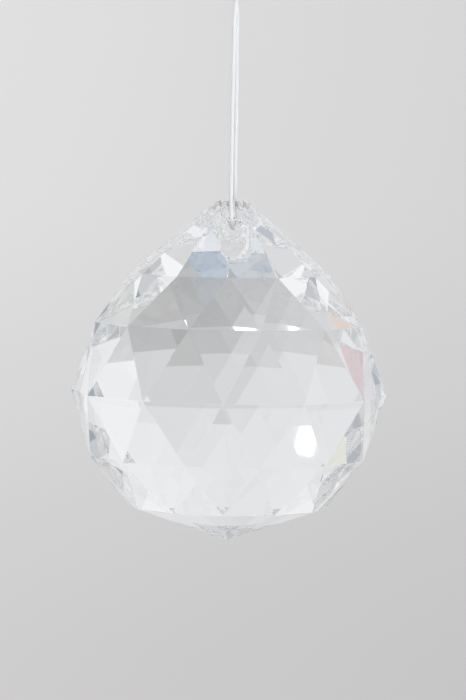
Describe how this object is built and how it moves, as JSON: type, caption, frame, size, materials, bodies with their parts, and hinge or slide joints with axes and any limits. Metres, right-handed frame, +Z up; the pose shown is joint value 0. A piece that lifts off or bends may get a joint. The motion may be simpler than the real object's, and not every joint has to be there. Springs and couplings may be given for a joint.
{
  "type": "hanging glass ball",
  "caption": "Clear cut-glass ball with a pear-shaped drilled neck, hung on a doubled clear nylon line that is knotted into a small hanging loop.",
  "frame": {"origin": "inside top of the hanging loop, where a hook or a ceiling fitting carries the ball", "axes": "+Z up along the hanging line and the ball's axis; the cross bore runs along Y and the ball's front faces -Y"},
  "size_m": [0.0398, 0.0398, 0.0813],
  "materials": {
    "glass": "ground and polished flat facets",
    "nylon": "clear drawn monofilament"
  },
  "bodies": {
    "root": {"glass_ball": "glass", "nylon_line": "nylon", "line_knot": "nylon", "hanging_loop": "nylon"}
  },
  "joints": []
}
